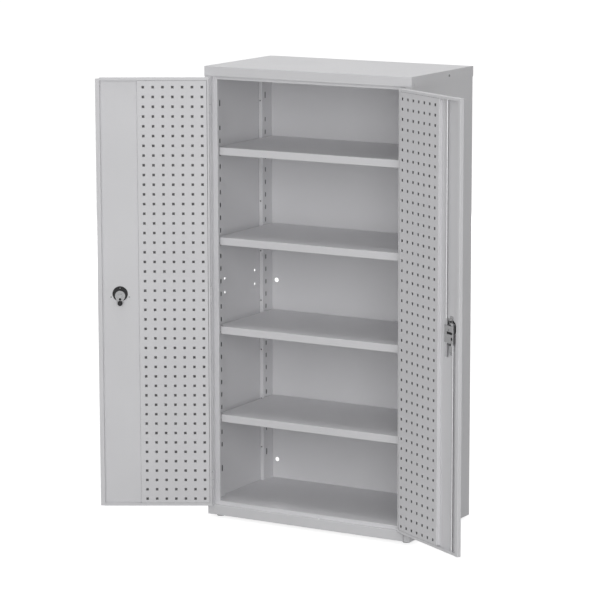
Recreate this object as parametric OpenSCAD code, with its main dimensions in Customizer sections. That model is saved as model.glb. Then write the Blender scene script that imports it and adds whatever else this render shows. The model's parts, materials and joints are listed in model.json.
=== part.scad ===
// Two-door tool cabinet of folded sheet steel, doors standing open.
// Millimetres. Origin on the floor under the middle of the cabinet, +Y towards its back, +Z up.

/* [Cabinet] */
// Overall width of the cabinet over the top cap
cabinet_w = 914; // [700:1:1100]
// Overall depth of the cabinet over the top cap
cabinet_d = 504; // [420:1:650]
// Height of the top above the floor
cabinet_h = 1800; // [1790:1:2000]
// Thickness of every folded sheet
sheet_t = 1.2; // [1:0.1:1.5]
// Radius of the middle of the sheet in a fold
fold_r = 1.4; // [1.3:0.1:2]
// Height of the cap's front face
cap_front_h = 38; // [30:1:50]
// Height of the cap's side and back skirts
cap_skirt_h = 40; // [36:1:55]
// How far the header lip hangs below the cap
header_lip_h = 13; // [8:1:16]
// Height of the face of the sill above the feet
sill_h = 39.5; // [34:0.5:50]
// Height of the floor's front step above the sill
floor_step_h = 14.5; // [10:0.5:20]
// Seam between the sill and a post
sill_seam = 0.8; // [0.4:0.1:1.2]
// Distance from the back plate to the rear edge of the cabinet
back_recess = 29; // [20:1:40]

/* [Posts and channels] */
// Width of the front face of a post, from the side of the cabinet
post_face_w = 28.5; // [26:0.5:40]
// Depth of the door rebate, from the front to the stop
rebate_d = 18; // [17.9:0.1:24]
// Width of the door stop inside the rebate
stop_w = 18; // [12:0.5:24]
// Depth of the return behind the door stop
stop_return = 10; // [6:1:12]
// Width of a front channel, and twice the distance from a rear channel's front edge to its slots
channel_w = 46; // [36:1:60]
// Distance from a side of the cabinet to the slotted face of a channel
channel_face = 20; // [16:0.5:28]
// Distance from the front to the slots of the front channels
front_slot_y = 80; // [76:1:100]
// Distance from one slot to the next
slot_pitch = 50.8; // [40:0.1:60]
// Least distance from the highest slot to the top of its channel
slot_top_room = 120; // [95:1:140]
// Height of the lowest slot above the floor
slot_low_z = 179.1; // [150:0.1:200]
// Width of a slot
slot_w = 8; // [6:0.5:9]
// Height of a slot
slot_h = 19; // [17:0.5:24]
// Height of the first and the last slot of a channel
end_slot_h = 26.5; // [20:0.5:30]
// Pitch of the small holes in the channel flanges
flange_pitch = 203.2; // [150:0.1:220]
// Diameter of the small holes in the channel flanges
flange_hole_d = 6.5; // [4:0.5:7]

/* [Holes in the panels] */
// Diameter of the joining holes in the side panels
side_hole_d = 10; // [6:0.5:14]
// Spacing of the joining holes, front to back
side_hole_y = 229; // [150:1:250]
// Spacing of the joining holes, up and down
side_hole_z = 56; // [40:1:80]
// Height of the middle of the joining holes
side_hole_mid_z = 915; // [800:1:1000]
// Diameter of the anchor holes in the back
anchor_hole_d = 18; // [12:0.5:22]
// Distance of the anchor holes from the sides of the cabinet
anchor_side = 40; // [37:1:60]
// Heights of the anchor holes
anchor_z = [142, 890];

/* [Shelves] */
// Slot that carries each shelf, counted from the lowest
shelf_slots = [4, 11, 18, 25];
// Height of a shelf's front lip
shelf_lip_h = 30; // [24:1:40]
// Height of a shelf's side lip
shelf_side_h = 25; // [18:1:30]
// Distance from the front to a shelf's lip
shelf_front_y = 38; // [32:1:50]
// Depth of the return under a shelf's front lip
shelf_hem = 12; // [8:1:16]
// Gap between a shelf and the slotted face of a channel
shelf_gap = 3; // [2.6:0.1:5]
// Width of a shelf clip
clip_w = 14; // [10:0.5:20]
// Thickness of a shelf clip
clip_t = 1.8; // [1.5:0.1:2]

/* [Feet] */
// Diameter of a foot
foot_d = 32; // [24:1:40]
// Height of the cabinet's bottom edge above the floor
foot_h = 12; // [8:0.5:20]
// Distance of the feet from the sides of the cabinet
foot_side = 36; // [32:1:50]
// Distance of the front feet from the front
foot_front_y = 42; // [24:1:46]
// Distance of the rear feet from the back
foot_back = 64; // [56:1:90]
// Diameter of a foot's stud
stud_d = 10; // [8:1:12]
// Thickness of the plate that carries a foot
gusset_t = 3; // [2:0.5:4]

/* [Doors] */
// How far each door stands open
open_angle = 150; // [100:1:170]
// Depth of a door pan
door_d = 16; // [15.5:0.1:17]
// Gap above and below a door
door_gap = 3; // [2:0.5:5]
// Gap between the two doors where they meet
meeting_gap = 4; // [3:0.5:6]
// Gap between a door and its post
hinge_gap = 1.1; // [0.8:0.1:2]
// Distance of the hinge pins in front of the doors
hinge_out = 8; // [7.5:0.5:10]
// Width of the lips along the top and bottom of a door
door_lip_h = 11; // [8:0.5:14]
// Width of the lip along the hinge side of a door
hinge_lip_w = 7.3; // [5:0.1:8]
// Width of the lip along the free side of the right door
free_lip_w = 18.5; // [12:0.5:22]
// Width of the closing strip on the left door
strip_w = 16.5; // [12:0.5:18]
// Clearance between the closing strip and the right door
strip_gap = 0.5; // [0.3:0.1:0.6]

/* [Perforated panels] */
// Distance from one square hole to the next
hole_pitch = 38.1; // [30:0.1:40]
// Side of a square hole
hole_side = 10; // [8:0.5:12]
// Least distance from the last holes to the panel's free and lower edges
hole_margin = 12; // [8:1:15]
// Distance from the panel's hinge edge to the first column
first_col = 19; // [14:0.5:24]
// Distance from the door's top to the first row
first_row = 37; // [28:0.5:40]
// Width of the plain strip between the panel and the free side of the door
plain_w = 145.1; // [130:0.1:160]
// Gap between the hinge lip and the panel
panel_gap = 1; // [0.5:0.1:4]
// Width of the feet that fix the panel to the door
panel_foot_w = 11; // [8:0.5:14]

/* [Hinges] */
// Distance from the top of a door to the middle of its top hinge
hinge_top_in = 106.5; // [80:0.5:200]
// Distance from the bottom of a door to the middle of its bottom hinge
hinge_low_in = 102; // [80:0.5:200]
// Height of a hinge
hinge_h = 64; // [50:1:80]
// Diameter of a hinge barrel
barrel_d = 13; // [12.5:0.5:14]
// Diameter of a hinge pin
pin_d = 8; // [6:0.5:9]
// Radial clearance of a pin in the door's barrel
pin_fit = 0.05; // [0.02:0.01:0.08]
// Thickness of a hinge leaf
leaf_t = 2; // [1.6:0.1:3]
// Width of a hinge leaf from the pin
leaf_w = 25; // [18:1:27]
// Thickness of the washer between two barrels
washer_t = 0.8; // [0.5:0.1:1.5]

/* [Locks] */
// Distance from the free side of a door to the lock axis
lock_side = 70.1; // [66:0.1:80]
// Distance of the lock axis below the middle hinge
lock_drop = 4.5; // [0:0.5:10]
// Height of the black housing's middle above the lock axis
housing_up = 7; // [0:0.5:9]
// Diameter of the black housing
housing_d = 60; // [50:1:64]
// Thickness of the black housing
housing_t = 3.3; // [2.5:0.1:4]
// Diameter of the spindle
spindle_d = 12; // [10:0.5:13]
// Radial clearance of the spindle in its bearings
spindle_fit = 0.05; // [0.02:0.01:0.08]
// Side of the spindle's square
square_side = 9; // [7:0.5:9]
// Thickness of the outside plate
plate_t = 5; // [3:0.5:7]
// Diameter of the turn handle
handle_d = 44; // [36:1:52]
// Height of the turn handle
handle_h = 30; // [22:1:36]
// Length of the left door's lever, axis to knob
lever_l = 29; // [28:1:38]
// Radius of the lever's round head
lever_head_r = 20; // [16:0.5:23]
// Diameter of the lever's knob
knob_d = 19; // [14:0.5:22]

/* [Rod lock] */
// Module of the pinion and racks
gear_module = 2; // [1.5:0.1:2]
// Number of teeth on the pinion
pinion_teeth = 12; // [12:4:12]
// Gap left between meshing teeth at the pitch line
backlash = 0.3; // [0.2:0.05:0.5]
// Diameter of the rods
rod_d = 8; // [6:0.5:8]
// Distance of each rod from the lock axis
rod_offset = 24; // [23:0.5:28]
// Depth of the rods behind the door's face
rod_v = 10.4; // [10:0.1:10.6]
// Height of the lock cover above the lock axis
cover_top = 17; // [12:1:20]
// Depth of the lock cover below the lock axis
cover_bottom = 48; // [44:1:52]
// Width of the base plate's neck above the cover
neck_w = 20; // [14:1:20]
// Width of the base plate's tongue below the cover
tongue_w = 15; // [12:1:16]
// Depth of the tongue's end below the lock axis
tongue_bottom = 97; // [88:1:105]
// Length of the neck's and tongue's feet on the door
base_foot_l = 8; // [6:1:12]

/* [Hidden] */
$fn = 48;

paint = [0.72, 0.72, 0.73];
inner_paint = [0.66, 0.66, 0.67];
steel = [0.75, 0.75, 0.76];
black = [0.08, 0.08, 0.09];

// Small amount by which a cut runs past the face that it opens
eps = 1;
// Straight pieces that stand for each fold's curve
fold_steps = 4;
// Clearance between a sheet and the one that laps over it
lap = 0.1;
// Clearance between edges that only meet
edge_gap = 0.3;

half_w = cabinet_w / 2;
side_x = half_w - sheet_t - lap;
side_in = side_x - sheet_t;
rear_y = cabinet_d - sheet_t - lap;
back_y = cabinet_d - back_recess;
cap_bottom = cabinet_h - cap_front_h;
header_z = cap_bottom - header_lip_h;
sill_z = foot_h + sill_h;
floor_z = sill_z + floor_step_h;
post_in = half_w - post_face_w;
anchor_x = half_w - anchor_side;
foot_x = half_w - foot_side;
foot_rear_y = cabinet_d - foot_back;
stop_in = post_in - stop_w;
side_return = 12;
back_flange = 20;
flange_w = 20;
top_flange_w = 15;
top_gap = 4;

channel_x = half_w - channel_face;
rear_slot_y = cabinet_d - front_slot_y;
channel_foot = 12;
channel_top = cabinet_h - 2 * sheet_t - top_gap;
slot_places = floor((channel_top - slot_top_room - slot_low_z) / slot_pitch) + 1;
slot_index = [0, for (n = [2:slot_places - 3]) n, slot_places - 1];
flange_hole_low = slot_low_z + slot_pitch / 2 + 0.3;
flange_hole_room = 60;
flange_hole_count = floor((channel_top - flange_hole_room - flange_hole_low) / flange_pitch) + 1;
flange_hole_x = channel_x + 10;

clip_rise = 30.9;
shelf_w = 2 * (channel_x - shelf_gap);
shelf_front_w = 2 * (stop_in + 3.5);
shelf_back_y = back_y - 3;
shelf_side_y = front_slot_y - channel_w / 2 + 3;
clip_ledge_t = 2;
clip_tab_w = slot_w - 1.5;
clip_tab_h = slot_h - slot_w;

hinge_x = post_in + 0.2;
door_edge = hinge_x - post_in + hinge_gap;
door_low = sill_z + door_gap;
door_top = cap_bottom - door_gap;
door_free = hinge_x - meeting_gap / 2;
panel_u = door_edge + hinge_lip_w + panel_gap;
panel_w = door_free - plain_w - panel_u;
panel_low = door_low + door_lip_h + eps;
panel_top = door_top - door_lip_h - eps;
hole_cols = floor((panel_w - first_col - hole_margin) / hole_pitch) + 1;
hole_rows = floor((door_top - first_row - hole_margin - panel_low) / hole_pitch) + 1;
strip_cut = 3;
knuckle_h = (hinge_h - washer_t) / 2;
hinge_low_z = door_low + hinge_low_in;
hinge_top_z = door_top - hinge_top_in;
hinge_mid_z = (hinge_low_z + hinge_top_z) / 2;
hinge_heights = [hinge_low_z, hinge_mid_z, hinge_top_z];
lock_u = door_free - lock_side;
lock_z = hinge_mid_z - lock_drop;

neck_r = 11;
skin_hole_r = neck_r + edge_gap;
boss_r = 13;
plate_screw_x = 35.5;
plate_screw_z = -6;
housing_v = sheet_t + housing_t;
base_v = housing_v + sheet_t;
handle_gap = 0.3;
cover_v = 14.6;
rod_room = 0.5;
cover_half = rod_offset + rod_d / 2 + rod_room + sheet_t;

pitch_r = gear_module * pinion_teeth / 2;
tooth_pitch = PI * gear_module;
pressure_angle = 25;
addendum = 0.9 * gear_module;
dedendum = 1.2 * gear_module;
base_r = pitch_r * cos(pressure_angle);
tooth_half_w = (tooth_pitch / 2 - backlash) / 2;
rod_travel = pitch_r * PI / 2;
rack_t = 6.4;
rack_back = rod_offset + 3;
rack_u = pitch_r + dedendum;
rack_reach = 8;
upper_tail = 103;
rack_join = 6;
rod_hole_r = rod_d / 2 + 0.3;
rod_tip_in = 0.5;
guide_w = 20;
guide_end = sheet_t + fold_r;
guide_h = door_lip_h - guide_end;

// Path helpers: a folded sheet is drawn as the line along the middle of its thickness
function unit(v) = v / norm(v);
function left_of(v) = [-v.y, v.x];
function spun(v, a) = [v.x * cos(a) - v.y * sin(a), v.x * sin(a) + v.y * cos(a)];
function reversed(list) = [for (i = [len(list) - 1:-1:0]) list[i]];

function fold_points(path, i, off) =
    let (before = unit(path[i] - path[i - 1]), after = unit(path[i + 1] - path[i]),
        turn = atan2(before.x * after.y - before.y * after.x, before * after),
        side = sign(turn),
        centre = path[i] - before * fold_r * tan(abs(turn) / 2) + left_of(before) * side * fold_r)
    [for (k = [0:fold_steps])
        centre + spun(-left_of(before) * side, turn * k / fold_steps) * (fold_r - side * off)];

function sheet_edge(path, off) =
    let (last = len(path) - 1)
    [path[0] + left_of(unit(path[1] - path[0])) * off,
        for (i = [1:last - 1]) each fold_points(path, i, off),
        path[last] + left_of(unit(path[last] - path[last - 1])) * off];

module folded_sheet(path, length) {
    linear_extrude(length)
        polygon(concat(sheet_edge(path, sheet_t / 2), reversed(sheet_edge(path, -sheet_t / 2))));
}

// A profile given in depth and height, drawn across the width from x0 to x1
module across(x0, x1, path) {
    translate([x0, 0, 0]) rotate([90, 0, 90]) folded_sheet(path, x1 - x0);
}

// A profile given in width and height, drawn along the depth from y0 to y1
module along(y0, y1, path) {
    translate([0, y1, 0]) rotate([90, 0, 0]) folded_sheet(path, y1 - y0);
}

// A profile given in plan, drawn upwards from z0 to z1
module upright(z0, z1, path) {
    translate([0, 0, z0]) folded_sheet(path, z1 - z0);
}

// Places: depth is measured from the front of the cabinet
module in_cabinet() {
    translate([0, -cabinet_d / 2, 0]) children();
}

// Door places: x runs from the hinge pins to the free edge, y from the outer face inwards
module on_left_door() {
    in_cabinet() translate([-hinge_x, -hinge_out, 0]) rotate([0, 0, -open_angle])
        translate([0, hinge_out, 0]) children();
}

module on_right_door() {
    mirror([1, 0, 0]) on_left_door() children();
}

// Lock places: z runs along the spindle into the cabinet, y points down
module at_lock() {
    translate([lock_u, 0, lock_z]) rotate([-90, 0, 0]) children();
}

// Side panel with the folded front post and door stop, left hand
module side_panel() {
    mid = sheet_t / 2;
    top = cabinet_h - sheet_t - lap;
    wall_top = top - fold_r - mid;
    difference() {
        union() {
            upright(foot_h, wall_top, [
                [-side_x + side_return, rear_y - mid],
                [-side_x + mid, rear_y - mid],
                [-side_x + mid, mid],
                [-post_in - mid, mid],
                [-post_in - mid, rebate_d + mid],
                [-stop_in - mid, rebate_d + mid],
                [-stop_in - mid, rebate_d + stop_return]]);
            translate([-side_x + mid, fold_r, foot_h])
                cube([flange_w, rear_y - 2 * fold_r, sheet_t]);
            along(rebate_d + stop_return, rear_y - fold_r - mid, [
                [-side_x + mid, wall_top - sheet_t],
                [-side_x + mid, top - mid],
                [-side_x + top_flange_w, top - mid]]);
        }
        translate([-half_w - eps, -eps, cap_bottom - edge_gap])
            cube([half_w, rebate_d + sheet_t + edge_gap + eps, cap_front_h + eps]);
        for (y = [-1, 1], z = [-1, 1])
            translate([-half_w, (cabinet_d + y * side_hole_y) / 2, side_hole_mid_z + z * side_hole_z / 2])
                rotate([0, 90, 0]) cylinder(d = side_hole_d, h = 4 * sheet_t);
        cap_screw_hole();
        translate([-post_in - 2 * sheet_t, fold_r + sheet_t, foot_h - eps])
            cube([stop_w + 3 * sheet_t, rebate_d + stop_return, gusset_t + sheet_t + edge_gap + eps]);
    }
}

module left_side_panel() {
    color(paint) in_cabinet() side_panel();
}

module right_side_panel() {
    color(paint) mirror([1, 0, 0]) in_cabinet() side_panel();
}

// Back: a sheet between the side panels, its side flanges turned to the rear
module back_panel() {
    mid = sheet_t / 2;
    edge = side_in - lap - mid;
    color(inner_paint) in_cabinet() difference() {
        upright(foot_h + 2 * sheet_t, cabinet_h - 2 * sheet_t - 2 * lap, [
            [-edge, back_y + back_flange], [-edge, back_y + mid],
            [edge, back_y + mid], [edge, back_y + back_flange]]);
        for (x = [-1, 1], z = anchor_z)
            translate([x * anchor_x, back_y - eps, z]) rotate([-90, 0, 0])
                cylinder(d = anchor_hole_d, h = sheet_t + 2 * eps);
        for (x = [-1, 1]) translate([x * side_in, back_y, cabinet_h - 2 * sheet_t])
            cube([4 * fold_r, 2 * back_flange + 2 * eps, 2 * sheet_t], center = true);
    }
}

cap_screw_y = 302;
cap_screw_z = cabinet_h - 20;
cap_screw_r = 2;
cap_head_r = 4.5;
cap_head_h = 1.6;
cap_socket_w = 4;
cap_socket_h = 1.2;

module cap_screw_hole() {
    translate([-half_w - eps, cap_screw_y, cap_screw_z]) rotate([0, 90, 0])
        cylinder(r = cap_screw_r + lap, h = 3 * sheet_t + 2 * eps);
}

// Top cap with front face, header lip, side skirts and rear skirt
module top_cap() {
    mid = sheet_t / 2;
    top_mid = cabinet_h - mid;
    fold_out = fold_r + mid;
    color(paint) in_cabinet() difference() {
        union() {
            across(-half_w, half_w, [
                [cabinet_d - mid, cabinet_h - cap_skirt_h],
                [cabinet_d - mid, top_mid],
                [mid, top_mid],
                [mid, cap_bottom + mid],
                [rebate_d + mid, cap_bottom + mid],
                [rebate_d + mid, header_z]]);
            along(fold_out, cabinet_d - fold_out, [
                [-half_w + mid, cabinet_h - cap_skirt_h],
                [-half_w + mid, top_mid],
                [half_w - mid, top_mid],
                [half_w - mid, cabinet_h - cap_skirt_h]]);
        }
        for (s = [-1, 1])
            translate([s * (half_w + stop_in - edge_gap) / 2, rebate_d + sheet_t / 2, cap_bottom - eps])
                cube([half_w - stop_in + edge_gap, 3 * sheet_t, 2 * header_lip_h], center = true);
        cap_screw_hole();
        mirror([1, 0, 0]) cap_screw_hole();
        rod_catch(lock_u - rod_offset, cap_bottom);
    }
}

// Hole in the header or sill that receives a rod of the right door
module rod_catch(u, z) {
    translate([hinge_x - u, rod_v, z - eps])
        cylinder(d = rod_d + 2, h = sheet_t + 2 * eps);
}

// Floor in one piece with the sill, side skirts and the returns that hold the feet
module floor_panel() {
    mid = sheet_t / 2;
    floor_mid = floor_z - mid;
    front_return = foot_front_y + foot_d / 2;
    back_edge = back_y - edge_gap - mid;
    rear_return = foot_rear_y - foot_d / 2;
    color(paint) in_cabinet() difference() {
        union() {
            across(-stop_in + edge_gap, stop_in - edge_gap, [
                [front_return, foot_h + mid],
                [mid, foot_h + mid],
                [mid, sill_z - mid],
                [rebate_d + mid, sill_z - mid],
                [rebate_d + mid, floor_mid],
                [back_edge, floor_mid],
                [back_edge, foot_h + mid],
                [rear_return, foot_h + mid]]);
            across(-post_in + sill_seam, post_in - sill_seam, [
                [front_return, foot_h + mid],
                [mid, foot_h + mid],
                [mid, sill_z - mid],
                [rebate_d - edge_gap, sill_z - mid]]);
            across(-side_x + flange_w + mid + edge_gap, side_x - flange_w - mid - edge_gap, [
                [back_edge, sill_z],
                [back_edge, foot_h + mid],
                [rear_return, foot_h + mid]]);
            along(rebate_d + stop_return + edge_gap, back_edge + mid, [
                [-side_in + edge_gap + mid, foot_h + sheet_t],
                [-side_in + edge_gap + mid, floor_mid],
                [side_in - edge_gap - mid, floor_mid],
                [side_in - edge_gap - mid, foot_h + sheet_t]]);
        }
        rod_catch(lock_u + rod_offset, sill_z - sheet_t);
        at_feet() translate([0, 0, foot_h - eps]) cylinder(d = stud_d + 1, h = sheet_t + 2 * eps);
    }
}

// Lipped channel with slots, left hand, from depth near to depth far, small holes in one flange
module slotted_channel(slot_y, near, far, hole_y) {
    mid = sheet_t / 2;
    foot = side_in - mid;
    face = channel_x + mid;
    difference() {
        upright(floor_z, channel_top, [
            [-foot, near + channel_foot], [-foot, near + mid], [-face, near + mid],
            [-face, far - mid], [-foot, far - mid], [-foot, far - channel_foot]]);
        translate([-channel_x + eps, slot_y, slot_low_z]) rotate([0, -90, 0])
            linear_extrude(sheet_t + 2 * eps) slot_row();
        for (k = [0:flange_hole_count - 1])
            translate([-flange_hole_x, hole_y, flange_hole_low + k * flange_pitch])
                rotate([90, 0, 0]) cylinder(d = flange_hole_d, h = 4 * sheet_t, center = true);
    }
}

module front_channel() {
    far = front_slot_y + channel_w / 2;
    color(inner_paint) in_cabinet() slotted_channel(front_slot_y, far - channel_w, far, far);
}

// Rear channel: its face reaches back to the back panel
module rear_channel() {
    near = rear_slot_y - channel_w / 2;
    color(inner_paint) in_cabinet() slotted_channel(rear_slot_y, near, back_y - lap, near);
}

// One upright slot with round ends, its length along x
module slot_shape(length) {
    straight = length - slot_w;
    square([straight, slot_w], center = true);
    for (s = [-1, 1]) translate([s * straight / 2, 0]) circle(d = slot_w);
}

// All slots of a channel, the two end slots lengthened towards the others
module slot_row() {
    longer = (end_slot_h - slot_h) / 2;
    last = slot_places - 1;
    for (n = slot_index) translate([n * slot_pitch, 0])
        if (n == 0 || n == last) translate([n == 0 ? longer : -longer, 0]) slot_shape(end_slot_h);
        else slot_shape(slot_h);
}

module left_front_channel() { front_channel(); }
module left_rear_channel() { rear_channel(); }
module right_front_channel() { mirror([1, 0, 0]) front_channel(); }
module right_rear_channel() { mirror([1, 0, 0]) rear_channel(); }

function shelf_top(slot) = slot_low_z + slot * slot_pitch + clip_rise;

// Shelf pan: front lip with a hem, rear lip and two side lips, corners open at the front
module shelf(slot) {
    mid = sheet_t / 2;
    top = shelf_top(slot);
    color(inner_paint) in_cabinet() {
        across(-shelf_front_w / 2, shelf_front_w / 2, [
            [shelf_front_y + shelf_hem, top - shelf_lip_h + mid],
            [shelf_front_y + mid, top - shelf_lip_h + mid],
            [shelf_front_y + mid, top - mid],
            [shelf_back_y - mid, top - mid],
            [shelf_back_y - mid, top - shelf_lip_h]]);
        along(shelf_side_y, shelf_back_y - fold_r - mid, [
            [-shelf_w / 2 + mid, top - shelf_side_h],
            [-shelf_w / 2 + mid, top - mid],
            [shelf_w / 2 - mid, top - mid],
            [shelf_w / 2 - mid, top - shelf_side_h]]);
    }
}

module shelf_1() { shelf(shelf_slots[0]); }
module shelf_2() { shelf(shelf_slots[1]); }
module shelf_3() { shelf(shelf_slots[2]); }
module shelf_4() { shelf(shelf_slots[3]); }

// Clip that hooks through a slot and carries a shelf's side lip, left hand
module shelf_clip(slot) {
    slot_z = slot_low_z + slot * slot_pitch;
    ledge_z = shelf_top(slot) - shelf_side_h - clip_ledge_t;
    ledge_w = shelf_gap + sheet_t + 5;
    hook_in = sheet_t + lap;
    translate([-channel_x, -clip_w / 2, slot_z - clip_tab_h / 2])
        cube([clip_t, clip_w, clip_tab_h + 8]);
    translate([-channel_x, -clip_w / 2, ledge_z]) cube([ledge_w, clip_w, clip_ledge_t]);
    translate([-channel_x - hook_in - clip_t, -clip_tab_w / 2, slot_z - clip_tab_h / 2])
        cube([hook_in + clip_t + lap, clip_tab_w, clip_tab_h]);
    translate([-channel_x - hook_in - clip_t, -clip_tab_w / 2, slot_z - clip_tab_h])
        cube([clip_t, clip_tab_w, clip_tab_h]);
}

module shelf_clips() {
    color(steel) in_cabinet()
        for (slot = shelf_slots, y = [front_slot_y, rear_slot_y], side = [0, 1])
            mirror([side, 0, 0]) translate([0, y, 0]) shelf_clip(slot);
}

// Places of the four feet
module at_feet() {
    for (x = [-1, 1], y = [foot_front_y, foot_rear_y]) translate([x * foot_x, y, 0]) children();
}

nut_flats = 17;
nut_h = 8;
pad_top_r = 12;
stud_in_pad = 4;
stud_top = foot_h + sheet_t + gusset_t + nut_h + 4;
gusset_size = 50;
gusset_in = 24;

module foot_gussets() {
    outer = side_in - edge_gap - sheet_t - edge_gap;
    color(steel) in_cabinet() for (x = [0, 1], y = [foot_front_y, foot_rear_y])
        mirror([x, 0, 0]) difference() {
            translate([-outer, y - gusset_size / 2, foot_h + sheet_t])
                cube([outer - foot_x + gusset_in, gusset_size, gusset_t]);
            translate([-foot_x, y, foot_h])
                cylinder(d = stud_d + 2 * lap, h = gusset_t + 2 * sheet_t);
        }
}

module foot_pads() {
    color(steel) in_cabinet() at_feet() rotate_extrude() polygon([
        [0, 0], [foot_d / 2 - 1, 0], [foot_d / 2, 1], [foot_d / 2, foot_h / 2],
        [pad_top_r, foot_h - lap], [stud_d / 2, foot_h - lap], [stud_d / 2, stud_in_pad],
        [0, stud_in_pad]]);
}

module foot_studs() {
    color(steel) in_cabinet() at_feet()
        translate([0, 0, stud_in_pad]) cylinder(d = stud_d, h = stud_top - stud_in_pad);
}

module foot_nuts() {
    color(steel) in_cabinet() at_feet() translate([0, 0, foot_h + sheet_t + gusset_t])
        difference() {
            rotate([0, 0, 30]) cylinder(d = nut_flats / cos(30), h = nut_h, $fn = 6);
            translate([0, 0, -eps]) cylinder(d = stud_d + 2 * lap, h = nut_h + 2 * eps);
        }
}

module cap_screws() {
    color(steel) in_cabinet() for (side = [0, 1]) mirror([side, 0, 0])
        translate([-half_w, cap_screw_y, cap_screw_z]) rotate([0, 90, 0]) difference() {
            union() {
                translate([0, 0, -cap_head_h]) cylinder(r = cap_head_r, h = cap_head_h);
                cylinder(r = cap_screw_r, h = 3 * sheet_t + eps);
            }
            translate([0, 0, -cap_head_h - eps])
                cylinder(d = cap_socket_w / cos(30), h = cap_socket_h + eps, $fn = 6);
        }
}

// Half of a lift-off hinge: barrel, web and flat leaf, the leaf to the left, pin axis at the origin
module hinge_half(bore_d) {
    web = barrel_d / 2;
    difference() {
        union() {
            cylinder(d = barrel_d, h = knuckle_h);
            translate([-web, 0, 0]) cube([web - 0.5, hinge_out, knuckle_h]);
            translate([-leaf_w, hinge_out - leaf_t, 0]) cube([leaf_w - 0.5, leaf_t, knuckle_h]);
        }
        translate([0, 0, -eps]) cylinder(d = bore_d, h = knuckle_h + 2 * eps);
    }
}

module hinge_frame_leaves() {
    color(paint) in_cabinet() for (side = [0, 1], z = hinge_heights)
        mirror([side, 0, 0]) translate([-hinge_x, -hinge_out, z - hinge_h / 2]) hinge_half(pin_d);
}

pin_tip_gap = 1;

module hinge_pins() {
    color(steel) in_cabinet() for (x = [-1, 1], z = hinge_heights)
        translate([x * hinge_x, -hinge_out, z - hinge_h / 2])
            cylinder(d = pin_d, h = hinge_h - pin_tip_gap);
}

module hinge_washers() {
    color(steel) in_cabinet() for (x = [-1, 1], z = hinge_heights)
        translate([x * hinge_x, -hinge_out, z - hinge_h / 2 + knuckle_h + washer_t / 8]) difference() {
            cylinder(d = barrel_d - 1, h = washer_t * 0.75);
            translate([0, 0, -eps]) cylinder(d = pin_d + 2 * pin_fit, h = washer_t + 2 * eps);
        }
}

module door_hinge_leaves() {
    color(paint) for (z = hinge_heights)
        translate([0, -hinge_out, z + washer_t / 2]) mirror([1, 0, 0]) hinge_half(pin_d + 2 * pin_fit);
}

module left_hinge_leaves() { on_left_door() door_hinge_leaves(); }
module right_hinge_leaves() { on_right_door() door_hinge_leaves(); }

// Door pan: skin, four walls and the lips that the path adds on the hinge and free sides
module door_pan(free_fold) {
    mid = sheet_t / 2;
    lip_v = door_d - mid;
    difference() {
        union() {
            upright(door_low, door_top, concat([
                [door_edge + hinge_lip_w, lip_v], [door_edge + mid, lip_v],
                [door_edge + mid, mid], [door_free - mid, mid]], free_fold));
            for (edge = [[door_low + mid, door_low + door_lip_h], [door_top - mid, door_top - door_lip_h]])
                across(door_edge + mid, door_free - mid,
                    [[mid, edge[0]], [lip_v, edge[0]], [lip_v, edge[1]]]);
        }
        at_lock() {
            translate([0, 0, -eps]) cylinder(r = skin_hole_r, h = sheet_t + 2 * eps);
            for (s = [-1, 1]) translate([s * plate_screw_x, -plate_screw_z, -eps])
                cylinder(r = plate_screw_r + 2 * lap, h = sheet_t + 2 * eps);
        }
    }
}

plate_screw_r = 2;
plate_head_r = 3.2;
plate_head_h = 2;

module left_door_pan() {
    mid = sheet_t / 2;
    strip_v = door_d + strip_gap + mid;
    color(paint) on_left_door() difference() {
        door_pan([[door_free - mid, strip_v], [door_free - mid + strip_w, strip_v]]);
        for (end = [0, 1]) translate([door_free + sheet_t, door_d - eps, end == 0 ? door_low : door_top])
            mirror([0, 0, end]) translate([0, 0, -eps])
                cube([strip_w, 2 * door_d, strip_cut * (end + 1) / 2 + eps]);
    }
}

module right_door_pan() {
    mid = sheet_t / 2;
    lip_v = door_d - mid;
    color(paint) on_right_door() difference() {
        door_pan([[door_free - mid, lip_v], [door_free - free_lip_w, lip_v]]);
        translate([lock_u - rod_offset, rod_v, door_top - sheet_t - eps])
            cylinder(r = rod_hole_r, h = sheet_t + 2 * eps);
        translate([lock_u + rod_offset, rod_v, door_low - eps])
            cylinder(r = rod_hole_r, h = sheet_t + 2 * eps);
    }
}

// Tool panel with square holes, standing on two folded feet
module perforated_panel() {
    mid = sheet_t / 2;
    face_v = door_d - mid;
    foot_v = sheet_t + mid;
    end_u = panel_u + panel_w;
    shoulder = 5;
    color(inner_paint) {
        upright(panel_low, panel_top, [
            [panel_u + panel_foot_w, foot_v], [panel_u + mid, foot_v],
            [panel_u + mid, face_v], [panel_u + shoulder, face_v]]);
        upright(panel_low, panel_top, [
            [end_u - shoulder, face_v], [end_u - mid, face_v],
            [end_u - mid, foot_v], [end_u + panel_foot_w, foot_v]]);
        translate([0, door_d, 0]) rotate([90, 0, 0]) linear_extrude(sheet_t) difference() {
            translate([panel_u + shoulder, panel_low])
                square([panel_w - 2 * shoulder, panel_top - panel_low]);
            for (col = [0:hole_cols - 1], row = [0:hole_rows - 1])
                translate([panel_u + first_col + col * hole_pitch, door_top - first_row - row * hole_pitch])
                    square(hole_side, center = true);
        }
    }
}

module left_perforated_panel() { on_left_door() perforated_panel(); }
module right_perforated_panel() { on_right_door() perforated_panel(); }

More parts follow.
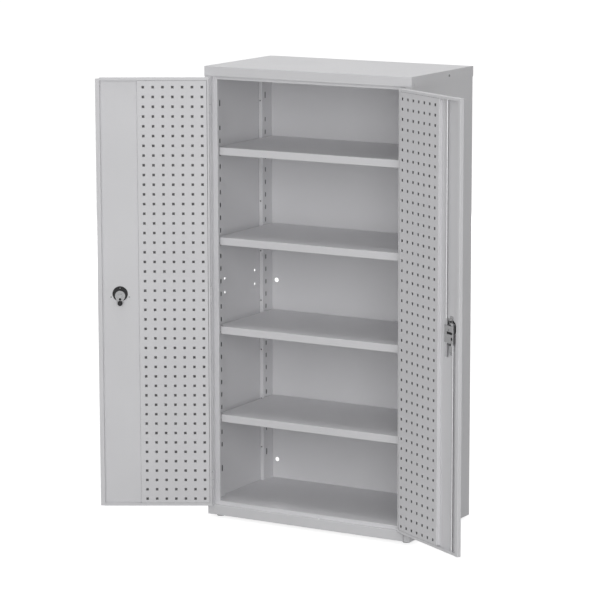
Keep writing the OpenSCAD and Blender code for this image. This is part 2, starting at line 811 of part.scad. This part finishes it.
// Black housing: round flange, neck through the door and a low boss inside
module lock_housing() {
    chamfer = 1;
    color(black) at_lock() difference() {
        union() {
            translate([0, -housing_up, sheet_t]) cylinder(d = housing_d, h = housing_t - chamfer);
            translate([0, -housing_up, housing_v - chamfer])
                cylinder(d1 = housing_d, d2 = housing_d - 2 * chamfer, h = chamfer);
            translate([0, 0, -plate_t]) cylinder(r = neck_r, h = plate_t + sheet_t + eps);
            translate([0, 0, sheet_t]) cylinder(r = boss_r, h = base_v - sheet_t);
        }
        translate([0, 0, -plate_t - eps])
            cylinder(r = spindle_d / 2 + spindle_fit, h = base_v + plate_t + 2 * eps);
        translate([0, -base_screw_z, sheet_t - eps])
            cylinder(r = cover_screw_r + lap, h = housing_t + 2 * eps);
    }
}

module left_lock_housing() { on_left_door() lock_housing(); }
module right_lock_housing() { on_right_door() lock_housing(); }

// Outside plate with round ends
module lock_plate() {
    end_r = 28;
    reach = 18;
    color(black) at_lock() translate([0, 0, -plate_t]) difference() {
        linear_extrude(plate_t) {
            square([2 * reach, 2 * end_r], center = true);
            for (s = [-1, 1]) translate([s * reach, 0]) circle(r = end_r);
        }
        translate([0, 0, -eps]) cylinder(r = neck_r + lap, h = plate_t + 2 * eps);
        for (s = [-1, 1]) translate([s * plate_screw_x, -plate_screw_z, plate_t / 3])
            cylinder(r = plate_screw_r + lap, h = plate_t);
    }
}

module left_lock_plate() { on_left_door() lock_plate(); }
module right_lock_plate() { on_right_door() lock_plate(); }

module lock_screws() {
    color(steel) at_lock() for (s = [-1, 1]) translate([s * plate_screw_x, -plate_screw_z, 0]) {
        translate([0, 0, sheet_t]) cylinder(r = plate_head_r, h = plate_head_h);
        translate([0, 0, -plate_t / 2]) cylinder(r = plate_screw_r, h = plate_t / 2 + sheet_t + eps);
    }
}

module left_lock_screws() { on_left_door() lock_screws(); }
module right_lock_screws() { on_right_door() lock_screws(); }

handle_face = -plate_t - handle_gap;
handle_base_h = 9;
handle_socket = 10;

// Turn handle: round base with a standing grip cut from the same cylinder
module turn_handle() {
    grip_w = 13;
    color(black) at_lock() difference() {
        union() {
            translate([0, 0, handle_face - handle_base_h]) cylinder(d = handle_d, h = handle_base_h);
            translate([0, 0, handle_face - handle_h]) intersection() {
                cylinder(d = handle_d, h = handle_h);
                translate([-grip_w / 2, -handle_d, 0]) cube([grip_w, 2 * handle_d, handle_h]);
            }
        }
        translate([0, 0, handle_face - handle_socket])
            cylinder(d = spindle_d, h = handle_socket + eps);
    }
}

module left_turn_handle() { on_left_door() turn_handle(); }
module right_turn_handle() { on_right_door() turn_handle(); }

square_v = base_v + edge_gap;
lever_t = 3;
nut_t = 5;
nut_r = 8;
stud_r = 4;

// Spindle: round bearing length, square end, then a stud of length stud_l
module spindle(square_l, stud_l) {
    color(steel) at_lock() {
        translate([0, 0, handle_face - handle_socket])
            cylinder(d = spindle_d, h = square_v - handle_face + handle_socket);
        translate([-square_side / 2, -square_side / 2, square_v - lap])
            cube([square_side, square_side, square_l + lap]);
        translate([0, 0, square_v + square_l - lap]) cylinder(r = stud_r, h = stud_l + lap);
    }
}

module left_spindle() { on_left_door() spindle(lever_t, nut_t + 1); }

// Round-headed lever that narrows to the knob's end
module lever_shape(tip_r) {
    tangent = acos((lever_head_r - tip_r) / lever_l);
    circle(r = lever_head_r);
    translate([0, lever_l]) circle(r = tip_r);
    polygon([
        [lever_head_r * sin(tangent), lever_head_r * cos(tangent)],
        [tip_r * sin(tangent), lever_l + tip_r * cos(tangent)],
        [-tip_r * sin(tangent), lever_l + tip_r * cos(tangent)],
        [-lever_head_r * sin(tangent), lever_head_r * cos(tangent)]]);
}

lever_tip_r = 8;
knob_screw_r = 2.5;
knob_h = 12;

module left_cam_lever() {
    window_r = 4.8;
    window_y = lever_l - knob_d / 2 - window_r - 1;
    color(steel) on_left_door() at_lock() translate([0, 0, square_v]) linear_extrude(lever_t) difference() {
        lever_shape(lever_tip_r);
        square(square_side, center = true);
        translate([0, window_y]) circle(r = window_r);
        translate([0, lever_l]) circle(r = knob_screw_r);
    }
}

module left_lever_knob() {
    color(black) on_left_door() at_lock() translate([0, lever_l, square_v]) rotate_extrude() polygon([
        [0, 0], [knob_screw_r, 0], [knob_screw_r, lever_t], [knob_d / 2 - 1, lever_t],
        [knob_d / 2, lever_t + 1], [knob_d / 2, lever_t + knob_h - 2],
        [knob_d / 2 - 2, lever_t + knob_h], [0, lever_t + knob_h]]);
}

module left_spindle_nut() {
    color(steel) on_left_door() at_lock() translate([0, 0, square_v + lever_t]) difference() {
        cylinder(r = nut_r, h = nut_t, $fn = 6);
        translate([0, 0, -eps]) cylinder(r = stud_r, h = nut_t + 2 * eps);
    }
}

module right_spindle() {
    on_right_door() spindle(cover_v - square_v - 2 * lap, 2 * lap + sheet_t + 1);
}

// Half angle of an involute tooth at radius r
function roll(r) = r <= base_r ? 0 : acos(base_r / r);
function involute(a) = tan(a) * 180 / PI - a;
function tooth_half(r) =
    tooth_half_w / pitch_r * 180 / PI + involute(pressure_angle) - involute(roll(r));
function at_angle(r, a) = [r * cos(a), r * sin(a)];

// Outline of the whole pinion, tooth after tooth
function gear_outline() =
    let (root = pitch_r - dedendum,
        radii = [root, base_r, for (k = [1:4]) base_r + (pitch_r + addendum - base_r) * k / 4])
    [for (tooth = [0:pinion_teeth - 1]) let (mid = tooth * 360 / pinion_teeth) each concat(
        [for (r = radii) at_angle(r, mid - tooth_half(r))],
        [for (r = reversed(radii)) at_angle(r, mid + tooth_half(r))])];

pinion_v = base_v + 0.6;
pinion_t = cover_v - pinion_v - 0.6;

module rod_pinion() {
    color(steel) on_right_door() at_lock() translate([0, 0, pinion_v]) linear_extrude(pinion_t)
        difference() {
            polygon(gear_outline());
            square(square_side, center = true);
        }
}

// Rack teeth that point to the pinion, a gap on the lock axis, from tooth first to tooth last
module rack_teeth(first, last) {
    tip = tooth_half_w - addendum * tan(pressure_angle);
    root = tooth_half_w + dedendum * tan(pressure_angle);
    for (k = [first:last]) translate([0, (k + 0.5) * tooth_pitch]) polygon([
        [pitch_r - addendum, -tip], [rack_u + 0.2, -root],
        [rack_u + 0.2, root], [pitch_r - addendum, tip]]);
}

// Flat rack bar drawn in plan of the door: x away from the lock axis, y up
module rack_bar(low, high, first, last) {
    translate([0, rod_v + rack_t / 2, 0]) rotate([90, 0, 0]) linear_extrude(rack_t) {
        translate([rack_u, low]) square([rack_back - rack_u, high - low]);
        rack_teeth(first, last);
    }
}

rack_high = rod_travel + rack_reach;
rack_low = -rack_reach;
lower_join = -60;
upper_join = 40;

module upper_rod() {
    tip = door_top - rod_tip_in;
    color(steel) on_right_door() translate([lock_u, 0, lock_z]) mirror([1, 0, 0]) {
        rack_bar(-upper_tail, upper_join, -5, 1);
        translate([rod_offset, rod_v, upper_join - rack_join])
            cylinder(d = rod_d, h = tip - lock_z - upper_join + rack_join);
    }
}

module lower_rod() {
    tip = door_low + rod_tip_in;
    color(steel) on_right_door() translate([lock_u, 0, lock_z]) {
        rack_bar(lower_join, rack_high, -2, 3);
        translate([rod_offset, rod_v, tip - lock_z])
            cylinder(d = rod_d, h = lock_z - tip + lower_join + rack_join);
    }
}

cover_screw_r = 2;
cover_head_r = 3.8;
cover_head_h = 3;
base_screw_z = housing_up + housing_d / 2 - 7;
base_side = 20;
base_low = cover_bottom + 13;
base_bend = 4;
cover_wall_gap = 2.6;
cover_tab_half = 9;
cover_screw_z = -cover_bottom - 8;

// Turns a drawing in x and height about the lock axis into a plate from depth v, t thick
module door_plate(v, t) {
    translate([lock_u, v + t, lock_z]) rotate([90, 0, 0]) linear_extrude(t) children();
}

// Base plate: a neck above and a tongue below, each bent down to a foot on the door
module rod_lock_base() {
    high = housing_v + sheet_t / 2;
    low = sheet_t * 1.5;
    neck_bend = lock_z + housing_up + housing_d / 2 + 2;
    tongue_bend = lock_z - tongue_bottom + base_foot_l + base_bend;
    color(steel) on_right_door() difference() {
        union() {
            door_plate(housing_v, sheet_t)
                translate([-cover_half, -base_low]) square([cover_half + base_side, base_low + cover_top]);
            across(lock_u - neck_w / 2, lock_u + neck_w / 2, [
                [high, lock_z + cover_top - eps], [high, neck_bend],
                [low, neck_bend + base_bend], [low, neck_bend + base_bend + base_foot_l]]);
            across(lock_u - tongue_w / 2, lock_u + tongue_w / 2, [
                [high, lock_z - base_low + eps], [high, tongue_bend],
                [low, tongue_bend - base_bend], [low, lock_z - tongue_bottom]]);
        }
        door_plate(housing_v - eps, sheet_t + 2 * eps) {
            circle(r = boss_r + lap);
            for (z = [base_screw_z, cover_screw_z]) translate([0, z]) circle(r = cover_screw_r + lap);
        }
    }
}

// Cover: a channel over the racks, open at both ends for the rods, with a bent tab below
module rod_lock_cover() {
    mid = sheet_t / 2;
    face = cover_v + mid;
    tab_z = lock_z - cover_bottom - fold_r - mid;
    window_w = 38;
    window_h = 9;
    window_at = [7.5, -10.5];
    peep_r = 6;
    peep_at = [21, -31];
    color(steel) on_right_door() difference() {
        union() {
            upright(lock_z - cover_bottom, lock_z + cover_top, [
                [lock_u - cover_half + mid, base_v], [lock_u - cover_half + mid, face],
                [lock_u + cover_half - mid, face], [lock_u + cover_half - mid, base_v + cover_wall_gap]]);
            across(lock_u - cover_tab_half, lock_u + cover_tab_half, [
                [face, lock_z - cover_bottom + eps], [face, tab_z],
                [base_v + mid, tab_z], [base_v + mid, lock_z - base_low]]);
        }
        door_plate(cover_v - eps, sheet_t + 2 * eps) {
            circle(r = stud_r + spindle_fit);
            translate(window_at) square([window_w, window_h], center = true);
            translate(peep_at) circle(r = peep_r);
        }
        door_plate(base_v - eps, sheet_t + 2 * eps)
            translate([0, cover_screw_z]) circle(r = cover_screw_r + lap);
    }
}

module rod_lock_screws() {
    color(black) on_right_door() {
        door_plate(base_v, cover_head_h) translate([0, base_screw_z]) circle(r = cover_head_r);
        door_plate(sheet_t + lap, base_v - sheet_t) translate([0, base_screw_z]) circle(r = cover_screw_r);
        door_plate(base_v + sheet_t, cover_head_h) translate([0, cover_screw_z]) circle(r = cover_head_r);
        door_plate(housing_v - eps, 2 * sheet_t + 2 * eps)
            translate([0, cover_screw_z]) circle(r = cover_screw_r);
    }
}

// Guide blocks for the rods, hidden behind the top and bottom lips
module rod_guides() {
    block_v = door_d - sheet_t - edge_gap;
    color(paint) on_right_door() {
        high = [lock_u - rod_offset, door_top - guide_end - guide_h];
        low = [lock_u + rod_offset, door_low + guide_end];
        for (end = [high, low]) difference() {
            translate([end.x - guide_w / 2, sheet_t, end.y]) cube([guide_w, block_v - sheet_t, guide_h]);
            translate([end.x, rod_v, end.y - eps])
                cylinder(r = rod_d / 2 + spindle_fit, h = guide_h + 2 * eps);
        }
    }
}

left_side_panel();
right_side_panel();
back_panel();
top_cap();
floor_panel();
left_front_channel();
left_rear_channel();
right_front_channel();
right_rear_channel();
shelf_1();
shelf_2();
shelf_3();
shelf_4();
shelf_clips();
foot_gussets();
foot_pads();
foot_studs();
foot_nuts();
cap_screws();
hinge_frame_leaves();
hinge_pins();
hinge_washers();
left_door_pan();
left_perforated_panel();
left_hinge_leaves();
left_lock_housing();
left_lock_plate();
left_lock_screws();
left_turn_handle();
left_spindle();
left_cam_lever();
left_lever_knob();
left_spindle_nut();
right_door_pan();
right_perforated_panel();
right_hinge_leaves();
right_lock_housing();
right_lock_plate();
right_lock_screws();
right_turn_handle();
right_spindle();
rod_pinion();
rod_lock_base();
rod_lock_cover();
rod_lock_screws();
rod_guides();
upper_rod();
lower_rod();
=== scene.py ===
import json
import math

import bpy
from mathutils import Matrix, Vector

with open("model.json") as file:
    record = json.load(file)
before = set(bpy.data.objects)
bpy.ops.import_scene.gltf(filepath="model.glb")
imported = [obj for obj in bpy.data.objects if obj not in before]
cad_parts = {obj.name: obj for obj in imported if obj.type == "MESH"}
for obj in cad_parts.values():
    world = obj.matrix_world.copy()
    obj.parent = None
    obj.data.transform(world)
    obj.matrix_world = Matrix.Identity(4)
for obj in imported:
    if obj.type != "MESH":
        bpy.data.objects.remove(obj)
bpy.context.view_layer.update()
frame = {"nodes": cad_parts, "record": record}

nodes = frame["nodes"]

# Camera fitted to the photograph: place and reach in metres, angles in radians,
# lens and sensor in millimetres
CAMERA_PLACE = (5.5645, -9.7839, 2.8808)
CAMERA_YAW = 0.5306
CAMERA_PITCH = 0.1761
CAMERA_ROLL = -0.0023
CAMERA_LENS = 174.36
CAMERA_REACH = 200.0
SENSOR_WIDTH = 36.0

# Soft boxes: place and side in metres, power in watts
FRONT_PLACE = (3.2, -8.0, 2.9)
FRONT_SIZE = 7.0
FRONT_POWER = 316.0
SIDE_PLACE = (5.5, -5.5, 1.6)
SIDE_SIZE = 4.0
SIDE_POWER = 50.0
# It stands lower than the cabinet's top, so that it leaves the top alone
BACK_PLACE = (-4.5, 7.0, 0.95)
BACK_SIZE = 1.6
BACK_POWER = 240.0
LAMP_TARGET = (0.0, 0.0, 1.2)
# Wide lamp from above, in watts a square metre, and the light from all round
TOP_LEVEL = 1.0
TOP_SPREAD = math.radians(35.0)
WORLD_LEVEL = 0.3
WHITE = (1.0, 1.0, 1.0, 1.0)

# Floor: half its side in metres, its linear grey, and what it adds where it is seen directly
FLOOR_HALF = 70.0
FLOOR_COLOUR = 0.38
FLOOR_GLOW = 0.84

# Band of the noise values that a surface's tones and roughness run over
NOISE_LOW = 0.3
NOISE_HIGH = 0.7

# Noise patterns: waves a metre and number of finer layers
PAINT_DRIFT = (2.3, 2.0)
PAINT_SHEEN = (55.0, 4.0)
PAINT_PEEL = (420.0, 2.0)
PAINT_SPECKS = (2400.0, 1.0)
STEEL_LINES = (60.0, 5.0)
STEEL_PATCHES = (130.0, 2.0)
PLASTIC_DRIFT = (30.0, 3.0)
PLASTIC_GRAIN = (1600.0, 2.0)
# How much the finer layers of a pattern weigh
EVEN_LAYERS = 0.5
SHARP_LAYERS = 0.65

# Relief: depth in metres and strength
PEEL_RELIEF = (0.00012, 0.35)
SPECK_RELIEF = (0.00004, 0.4)
LINE_RELIEF = (0.00008, 0.4)
GRAIN_RELIEF = (0.00008, 0.5)

# Powder coat: linear colour, shares of it that the tone drifts between, roughness from and to
PAINT = (0.744, 0.742, 0.758)
PAINT_TONES = (0.975, 1.02)
PAINT_ROUGHNESS = (0.42, 0.51)
PAINT_SPECULAR = 0.4
# Share of the paint's tone left inside closed sections: painted shade where little light reaches
HOLLOW_SHADE = 0.38

# Steel: shares of its colour that the lines run between, and roughness about its own
STEEL_TONES = (0.82, 1.06)
STEEL_SPREAD = (-0.06, 0.1)
# Share of a steel's tone left inside the lock's closed box: painted shade where little light
# reaches
LOCK_HOLLOW_SHADE = 0.12
# Stretch of the lines: along the height, around it, or none
UPRIGHT_LINES = (8.0, 8.0, 1.0)
LEVEL_LINES = (1.0, 1.0, 6.0)
FINE_GRAIN = (3.0, 3.0, 3.0)

# Black plastic and black screws
PLASTIC = (0.008, 0.008, 0.009)
BLACK_SCREW = (0.008, 0.008, 0.008)
PLASTIC_TONES = (0.8, 1.4)
PLASTIC_ROUGHNESS = (0.36, 0.5)
PLASTIC_SPECULAR = 0.25

# How far each door stands open at rest
OPEN_ANGLE = math.radians(150.0)
# Insets of the closed boxes, in metres: half a sheet, and just under a sheet's outer face
SHEET_MID = 0.0006
SHEET_FACE = 0.0004
# A tool panel's foot with its wall, and the height of the lock cover's bent tab
PANEL_FOOT = 0.0116
COVER_TAB = 0.0142


def new_material(name):
    material = bpy.data.materials.new(name)
    material.use_nodes = True
    tree = material.node_tree
    shader = tree.nodes["Principled BSDF"]
    return material, tree, shader


def object_coordinates(tree, stretch=(1.0, 1.0, 1.0)):
    place = tree.nodes.new("ShaderNodeTexCoord")
    mapping = tree.nodes.new("ShaderNodeMapping")
    mapping.inputs["Scale"].default_value = stretch
    tree.links.new(place.outputs["Object"], mapping.inputs["Vector"])
    return mapping.outputs["Vector"]


def noise(tree, vector, pattern, layers=EVEN_LAYERS):
    scale, detail = pattern
    node = tree.nodes.new("ShaderNodeTexNoise")
    node.inputs["Scale"].default_value = scale
    node.inputs["Detail"].default_value = detail
    node.inputs["Roughness"].default_value = layers
    tree.links.new(vector, node.inputs["Vector"])
    return node.outputs["Fac"]


def scaled(colour, factor):
    return tuple(min(1.0, c * factor) for c in colour)


def two_tones(tree, factor, colour, shares):
    """Runs between two shares of the colour over the band of noise values."""
    node = tree.nodes.new("ShaderNodeValToRGB")
    ends = zip(node.color_ramp.elements, (NOISE_LOW, NOISE_HIGH), shares)
    for element, at, share in ends:
        element.position = at
        element.color = (*scaled(colour, share), 1.0)
    tree.links.new(factor, node.inputs["Fac"])
    return node.outputs["Color"]


def spread(tree, factor, low, high, start=NOISE_LOW, end=NOISE_HIGH):
    """Maps the factor's range from start to end onto low to high."""
    node = tree.nodes.new("ShaderNodeMapRange")
    node.inputs["From Min"].default_value = start
    node.inputs["From Max"].default_value = end
    node.inputs["To Min"].default_value = low
    node.inputs["To Max"].default_value = high
    tree.links.new(factor, node.inputs["Value"])
    return node.outputs["Result"]


def bump(tree, height, relief, under=None):
    depth, strength = relief
    node = tree.nodes.new("ShaderNodeBump")
    node.inputs["Strength"].default_value = strength
    node.inputs["Distance"].default_value = depth
    tree.links.new(height, node.inputs["Height"])
    if under is not None:
        tree.links.new(under, node.inputs["Normal"])
    return node.outputs["Normal"]


def larger_of(tree, first, second):
    node = tree.nodes.new("ShaderNodeMath")
    node.operation = "MAXIMUM"
    tree.links.new(first, node.inputs[0])
    tree.links.new(second, node.inputs[1])
    return node.outputs[0]


def hollow_behind(node_name, turn, low_in, high_in):
    """Box that a folded piece closes off, in axes turned about z: its bounds, drawn in."""
    square_up = Matrix.Rotation(-turn, 3, "Z")
    points = [square_up @ vertex.co for vertex in nodes[node_name].data.vertices]
    low = Vector([min(point[axis] for point in points) + low_in[axis] for axis in range(3)])
    high = Vector([max(point[axis] for point in points) - high_in[axis] for axis in range(3)])
    middle = Matrix.Rotation(turn, 3, "Z") @ ((low + high) / 2)
    return middle, (high - low) / 2, turn


def in_hollow(tree, hollow):
    """1 inside the box, 0 outside, by the object's own coordinates."""
    middle, half, turn = hollow
    place = tree.nodes.new("ShaderNodeTexCoord")
    mapping = tree.nodes.new("ShaderNodeMapping")
    mapping.vector_type = "TEXTURE"
    mapping.inputs["Location"].default_value = middle
    mapping.inputs["Rotation"].default_value = (0.0, 0.0, turn)
    mapping.inputs["Scale"].default_value = half
    size = tree.nodes.new("ShaderNodeVectorMath")
    size.operation = "ABSOLUTE"
    parts = tree.nodes.new("ShaderNodeSeparateXYZ")
    tree.links.new(place.outputs["Object"], mapping.inputs["Vector"])
    tree.links.new(mapping.outputs["Vector"], size.inputs[0])
    tree.links.new(size.outputs["Vector"], parts.inputs["Vector"])
    largest = parts.outputs["X"]
    for axis in ("Y", "Z"):
        largest = larger_of(tree, largest, parts.outputs[axis])
    below = tree.nodes.new("ShaderNodeMath")
    below.operation = "LESS_THAN"
    below.inputs[1].default_value = 1.0
    tree.links.new(largest, below.inputs[0])
    return below.outputs[0]


def painted_shade_inside(tree, tone, colour, hollows):
    """Mixes the tone with a darker one in closed boxes: painted shade where light hardly reaches.
    """
    for hollow in hollows:
        mix = tree.nodes.new("ShaderNodeMix")
        mix.data_type = "RGBA"
        mix.inputs["B"].default_value = (*colour, 1.0)
        tree.links.new(in_hollow(tree, hollow), mix.inputs["Factor"])
        tree.links.new(tone, mix.inputs["A"])
        tone = mix.outputs["Result"]
    return tone


def powder_coat(name, hollows=()):
    """Satin powder coat: slow tone drift, fine orange peel, small specks, and painted shade in
    closed boxes.
    """
    material, tree, shader = new_material(name)
    vector = object_coordinates(tree)
    tone = two_tones(tree, noise(tree, vector, PAINT_DRIFT), PAINT, PAINT_TONES)
    # Painted shade: darker tone in the closed boxes behind the panels and channels
    tone = painted_shade_inside(tree, tone, scaled(PAINT, HOLLOW_SHADE), hollows)
    tree.links.new(tone, shader.inputs["Base Color"])
    sheen = spread(tree, noise(tree, vector, PAINT_SHEEN), *PAINT_ROUGHNESS)
    tree.links.new(sheen, shader.inputs["Roughness"])
    peel = bump(tree, noise(tree, vector, PAINT_PEEL), PEEL_RELIEF)
    specks = bump(tree, noise(tree, vector, PAINT_SPECKS), SPECK_RELIEF, peel)
    tree.links.new(specks, shader.inputs["Normal"])
    shader.inputs["Specular IOR Level"].default_value = PAINT_SPECULAR
    return material


def bright_steel(name, colour, roughness, stretch, hollows=()):
    """Zinc-plated or satin steel with fine drawn lines along one direction, and painted shade in
    closed boxes.
    """
    material, tree, shader = new_material(name)
    lines = noise(tree, object_coordinates(tree, stretch), STEEL_LINES, SHARP_LAYERS)
    tone = two_tones(tree, lines, colour, STEEL_TONES)
    # Painted shade: darker tone inside the lock's closed box
    tone = painted_shade_inside(tree, tone, scaled(colour, LOCK_HOLLOW_SHADE), hollows)
    tree.links.new(tone, shader.inputs["Base Color"])
    shader.inputs["Metallic"].default_value = 1.0
    patches = noise(tree, object_coordinates(tree), STEEL_PATCHES)
    rough_low, rough_high = (roughness + step for step in STEEL_SPREAD)
    tree.links.new(spread(tree, patches, rough_low, rough_high), shader.inputs["Roughness"])
    tree.links.new(bump(tree, lines, LINE_RELIEF), shader.inputs["Normal"])
    return material


def moulded_black(name, colour):
    """Moulded black plastic with a fine spark-eroded grain."""
    material, tree, shader = new_material(name)
    vector = object_coordinates(tree)
    drift = noise(tree, vector, PLASTIC_DRIFT)
    tone = two_tones(tree, drift, colour, PLASTIC_TONES)
    tree.links.new(tone, shader.inputs["Base Color"])
    tree.links.new(spread(tree, drift, *PLASTIC_ROUGHNESS), shader.inputs["Roughness"])
    grain = noise(tree, vector, PLASTIC_GRAIN)
    tree.links.new(bump(tree, grain, GRAIN_RELIEF), shader.inputs["Normal"])
    shader.inputs["Specular IOR Level"].default_value = PLASTIC_SPECULAR
    return material


# Closed boxes that get painted shade: behind the doors' tool panels, behind the slotted channels
# and in the rod lock
behind_panels = [
    hollow_behind("left_perforated_panel", -OPEN_ANGLE,
                  (SHEET_MID, -SHEET_MID, 0.0), (PANEL_FOOT, SHEET_FACE, 0.0)),
    hollow_behind("right_perforated_panel", OPEN_ANGLE,
                  (PANEL_FOOT, -SHEET_MID, 0.0), (SHEET_MID, SHEET_FACE, 0.0)),
]
WALL_SIDE = (-SHEET_MID, SHEET_MID, 0.0)
ROOM_SIDE = (SHEET_FACE, SHEET_MID, 0.0)
behind_channels = [
    hollow_behind(side + "_" + row + "_channel", 0.0, low_in, high_in)
    for side, low_in, high_in in (("left", WALL_SIDE, ROOM_SIDE), ("right", ROOM_SIDE, WALL_SIDE))
    for row in ("front", "rear")
]
inside_lock = [
    hollow_behind("rod_lock_cover", OPEN_ANGLE,
                  (SHEET_MID, 0.0, COVER_TAB), (SHEET_MID, SHEET_FACE, 0.0)),
]

# Painted slots with the closed boxes that get painted shade
PAINTED = {
    "cabinet_paint": behind_channels,
    "channel_paint": behind_channels,
    "shelf_paint": [],
    "door_paint": behind_panels,
    "panel_paint": behind_panels,
    "hinge_paint": [],
}
# Steel slots: linear colour, roughness, stretch of the lines and boxes that get painted shade
STEELS = {
    "zinc_steel": ((0.28, 0.284, 0.288), 0.4, UPRIGHT_LINES, inside_lock),
    "lock_steel": ((0.37, 0.37, 0.375), 0.42, LEVEL_LINES, inside_lock),
    "lever_steel": ((0.26, 0.26, 0.265), 0.42, FINE_GRAIN, []),
    "drawn_steel": ((0.5, 0.5, 0.51), 0.44, UPRIGHT_LINES, inside_lock),
}
BLACKS = {
    "black_plastic": PLASTIC,
    "black_screw": BLACK_SCREW,
}

MATERIALS = {}
for slot, hollows in PAINTED.items():
    MATERIALS[slot] = powder_coat(slot, hollows)
for slot, steel in STEELS.items():
    MATERIALS[slot] = bright_steel(slot, *steel)
for slot, colour in BLACKS.items():
    MATERIALS[slot] = moulded_black(slot, colour)


def dress(obj, slot_name):
    obj.data.materials.clear()
    obj.data.materials.append(MATERIALS[slot_name])


for part in frame["record"]["subparts"]:
    dress(nodes[part["node"]], part["material_slot"])


def add_to_scene(name, data):
    obj = bpy.data.objects.new(name, data)
    bpy.context.scene.collection.objects.link(obj)
    return obj


def add_soft_box(name, place, size, power):
    data = bpy.data.lights.new(name, "AREA")
    data.shape = "SQUARE"
    data.size = size
    data.energy = power
    lamp = add_to_scene(name, data)
    lamp.location = place
    direction = Vector(LAMP_TARGET) - Vector(place)
    lamp.rotation_euler = direction.to_track_quat("-Z", "Y").to_euler()


def make_lamps():
    add_soft_box("front", FRONT_PLACE, FRONT_SIZE, FRONT_POWER)
    add_soft_box("side", SIDE_PLACE, SIDE_SIZE, SIDE_POWER)
    add_soft_box("back", BACK_PLACE, BACK_SIZE, BACK_POWER)
    top_data = bpy.data.lights.new("top", "SUN")
    top_data.energy = TOP_LEVEL
    top_data.angle = TOP_SPREAD
    add_to_scene("top", top_data)


def seen_directly(tree):
    """1 where the ray comes from the camera, a mirror or a see-through surface, else 0."""
    path = tree.nodes.new("ShaderNodeLightPath")
    total = path.outputs["Is Camera Ray"]
    for name in ("Is Glossy Ray", "Is Transmission Ray"):
        total = larger_of(tree, total, path.outputs[name])
    return total


def make_world():
    """White where it is seen directly, and a plain level of light for the rest."""
    world = bpy.data.worlds.new("studio")
    bpy.context.scene.world = world
    world.use_nodes = True
    tree = world.node_tree
    background = tree.nodes["Background"]
    background.inputs["Color"].default_value = WHITE
    level = spread(tree, seen_directly(tree), WORLD_LEVEL, 1.0, 0.0, 1.0)
    tree.links.new(level, background.inputs["Strength"])


def make_floor():
    """Plain floor that shows white and keeps the object's shadow."""
    corners = [(x * FLOOR_HALF, y * FLOOR_HALF, 0.0)
               for x, y in ((-1, -1), (1, -1), (1, 1), (-1, 1))]
    mesh = bpy.data.meshes.new("studio_floor")
    mesh.from_pydata(corners, [], [(0, 1, 2, 3)])
    floor = add_to_scene("studio_floor", mesh)
    material, tree, shader = new_material("studio_floor")
    shader.inputs["Base Color"].default_value = (FLOOR_COLOUR, FLOOR_COLOUR, FLOOR_COLOUR, 1.0)
    shader.inputs["Roughness"].default_value = 1.0
    shader.inputs["Specular IOR Level"].default_value = 0.0
    shader.inputs["Emission Color"].default_value = WHITE
    glow = spread(tree, seen_directly(tree), 0.0, FLOOR_GLOW, 0.0, 1.0)
    tree.links.new(glow, shader.inputs["Emission Strength"])
    mesh.materials.append(material)


def make_camera():
    data = bpy.data.cameras.new("camera")
    data.lens = CAMERA_LENS
    data.sensor_width = SENSOR_WIDTH
    data.clip_end = CAMERA_REACH
    camera = add_to_scene("camera", data)
    turn = Matrix.Rotation(CAMERA_YAW, 4, "Z")
    tilt = Matrix.Rotation(math.pi / 2 - CAMERA_PITCH, 4, "X")
    roll = Matrix.Rotation(CAMERA_ROLL, 4, "Z")
    camera.matrix_world = Matrix.Translation(CAMERA_PLACE) @ turn @ tilt @ roll
    bpy.context.scene.camera = camera


make_world()
make_floor()
make_camera()
make_lamps()

view = bpy.context.scene.view_settings
view.view_transform = "Standard"
